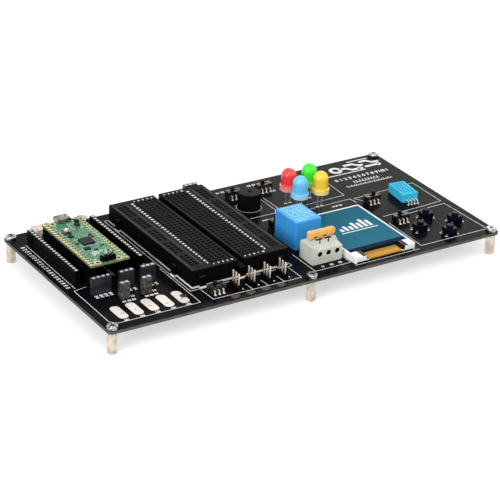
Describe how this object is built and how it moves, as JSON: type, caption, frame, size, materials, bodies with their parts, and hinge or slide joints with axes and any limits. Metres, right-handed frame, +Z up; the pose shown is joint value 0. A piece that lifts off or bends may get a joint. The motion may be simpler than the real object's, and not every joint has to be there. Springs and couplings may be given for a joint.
{
  "type": "electronics experiment board",
  "caption": "Electronics experiment board: microcontroller module in sockets, breadboard, lamps, sounder, relay, wire terminal, colour display, humidity sensor, slide switches and buttons.",
  "frame": {"origin": "middle of the board, on the surface that its six stand-offs rest on", "axes": "+X along the board's long edge, from the microcontroller module to the push buttons; +Y from the front edge with the touch pads to the back edge; +Z up"},
  "size_m": [0.2266, 0.111, 0.0324],
  "materials": {
    "laminate_black": "glossy solder mask on glass-fibre laminate",
    "nickel": "nickel-plated steel",
    "standoff_nickel": "nickel-plated brass",
    "black_nylon": "moulded, satin",
    "gold_contact": "gold-flashed",
    "tin": "tinned",
    "inlet_nylon": "natural nylon",
    "module_laminate": "green solder mask",
    "chip_black": "moulded",
    "shell_steel": "stamped",
    "white_cap": "moulded",
    "breadboard_black": "fine grained",
    "clip_bronze": "plated spring bronze",
    "foam_tape": "white foam, adhesive",
    "sounder_black": "moulded",
    "ferrite": "sintered and wound",
    "lens_red": "milky tinted resin",
    "lens_blue": "milky tinted resin",
    "lens_green": "milky tinted resin",
    "lens_yellow": "milky tinted resin",
    "relay_blue": "moulded",
    "relay_base_black": "moulded",
    "soft_iron": "plated",
    "contact_copper": "copper alloy",
    "terminal_grey": "moulded",
    "lever_orange": "moulded",
    "display_white": "moulded",
    "display_panel": "glass over a lit picture",
    "ribbon_amber": "polyimide film",
    "sensor_cyan": "moulded",
    "switch_black": "moulded"
  },
  "bodies": {
    "board": {"main_board": "laminate_black", "board_screws": "nickel", "board_standoffs": "standoff_nickel", "breakout_sockets": "black_nylon", "module_sockets": "black_nylon", "small_sockets": "black_nylon", "power_sockets": "black_nylon", "socket_contacts": "gold_contact", "supply_inlet": "inlet_nylon", "supply_capacitor": "chip_black", "module_board": "module_laminate", "module_pin_strips": "black_nylon", "module_pins": "gold_contact", "module_chips": "chip_black", "module_metal_cases": "shell_steel", "breadboard_block": "breadboard_black", "breadboard_rails": "breadboard_black", "breadboard_clips": "clip_bronze", "breadboard_tape": "foam_tape", "servo_header_bases": "black_nylon", "servo_pins": "gold_contact", "sounder_case": "sounder_black", "sounder_driver": "ferrite", "lamp_red": "lens_red", "lamp_blue": "lens_blue", "lamp_green": "lens_green", "lamp_yellow": "lens_yellow", "lamp_legs": "tin", "relay_case": "relay_blue", "relay_base": "relay_base_black", "relay_magnet": "soft_iron", "relay_contacts": "contact_copper", "terminal_housing": "terminal_grey", "terminal_clamps": "tin", "display_frame": "display_white", "display_glass": "display_panel", "display_ribbon": "ribbon_amber", "sensor_case": "sensor_cyan", "sensor_pins": "tin", "switch_covers": "shell_steel", "switch_bases": "switch_black", "switch_legs": "tin", "button_bases": "switch_black", "button_metal": "tin", "touch_pads": "tin"},
    "module_button": {"module_button": "white_cap"},
    "relay_armature": {"relay_armature": "soft_iron"},
    "terminal_lever_1": {"terminal_lever_1": "lever_orange"},
    "terminal_lever_2": {"terminal_lever_2": "lever_orange"},
    "terminal_lever_3": {"terminal_lever_3": "lever_orange"},
    "switch_knob_1": {"switch_knob_1": "switch_black"},
    "switch_knob_2": {"switch_knob_2": "switch_black"},
    "switch_knob_3": {"switch_knob_3": "switch_black"},
    "switch_knob_4": {"switch_knob_4": "switch_black"},
    "switch_knob_5": {"switch_knob_5": "switch_black"},
    "switch_knob_6": {"switch_knob_6": "switch_black"},
    "button_cap_1": {"button_cap_1": "switch_black"},
    "button_cap_2": {"button_cap_2": "switch_black"},
    "button_cap_3": {"button_cap_3": "switch_black"},
    "button_cap_4": {"button_cap_4": "switch_black"}
  },
  "joints": [
    {"name": "button_press_1", "type": "slide", "parent": "board", "child": "button_cap_1", "axis": [0, 0, -1], "range_m": [0, 0.00025], "stiffness_N_per_m": 200, "springref_m": -0.0002},
    {"name": "button_press_2", "type": "slide", "parent": "board", "child": "button_cap_2", "axis": [0, 0, -1], "range_m": [0, 0.00025], "stiffness_N_per_m": 200, "springref_m": -0.0002},
    {"name": "button_press_3", "type": "slide", "parent": "board", "child": "button_cap_3", "axis": [0, 0, -1], "range_m": [0, 0.00025], "stiffness_N_per_m": 200, "springref_m": -0.0002},
    {"name": "button_press_4", "type": "slide", "parent": "board", "child": "button_cap_4", "axis": [0, 0, -1], "range_m": [0, 0.00025], "stiffness_N_per_m": 200, "springref_m": -0.0002},
    {"name": "start_button_press", "type": "slide", "parent": "board", "child": "module_button", "axis": [0, 0, -1], "range_m": [0, 0.0002], "stiffness_N_per_m": 200, "springref_m": -0.0002},
    {"name": "switch_slide_1", "type": "slide", "parent": "board", "child": "switch_knob_1", "axis": [1, 0, 0], "range_m": [0, 0.002]},
    {"name": "switch_slide_2", "type": "slide", "parent": "board", "child": "switch_knob_2", "axis": [1, 0, 0], "range_m": [0, 0.002]},
    {"name": "switch_slide_3", "type": "slide", "parent": "board", "child": "switch_knob_3", "axis": [1, 0, 0], "range_m": [0, 0.002]},
    {"name": "switch_slide_4", "type": "slide", "parent": "board", "child": "switch_knob_4", "axis": [1, 0, 0], "range_m": [0, 0.002]},
    {"name": "switch_slide_5", "type": "slide", "parent": "board", "child": "switch_knob_5", "axis": [-1, 0, 0], "range_m": [0, 0.002]},
    {"name": "switch_slide_6", "type": "slide", "parent": "board", "child": "switch_knob_6", "axis": [1, 0, 0], "range_m": [0, 0.002]},
    {"name": "lever_tip_1", "type": "hinge", "parent": "board", "child": "terminal_lever_1", "pos_m": [0.01092, -0.03535, 0.02], "axis": [-1, 0, 0], "range_deg": [0, 22], "stiffness_Nm_per_rad": 0.02, "springref_deg": -5.73},
    {"name": "lever_tip_2", "type": "hinge", "parent": "board", "child": "terminal_lever_2", "pos_m": [0.016, -0.03535, 0.02], "axis": [-1, 0, 0], "range_deg": [0, 22], "stiffness_Nm_per_rad": 0.02, "springref_deg": -5.73},
    {"name": "lever_tip_3", "type": "hinge", "parent": "board", "child": "terminal_lever_3", "pos_m": [0.02108, -0.03535, 0.02], "axis": [-1, 0, 0], "range_deg": [0, 22], "stiffness_Nm_per_rad": 0.02, "springref_deg": -5.73},
    {"name": "armature_rock", "type": "hinge", "parent": "board", "child": "relay_armature", "pos_m": [0.0157, -0.0095, 0.02455], "axis": [1, 0, 0], "range_deg": [0, 2.5], "stiffness_Nm_per_rad": 0.05, "springref_deg": -5.73}
  ]
}
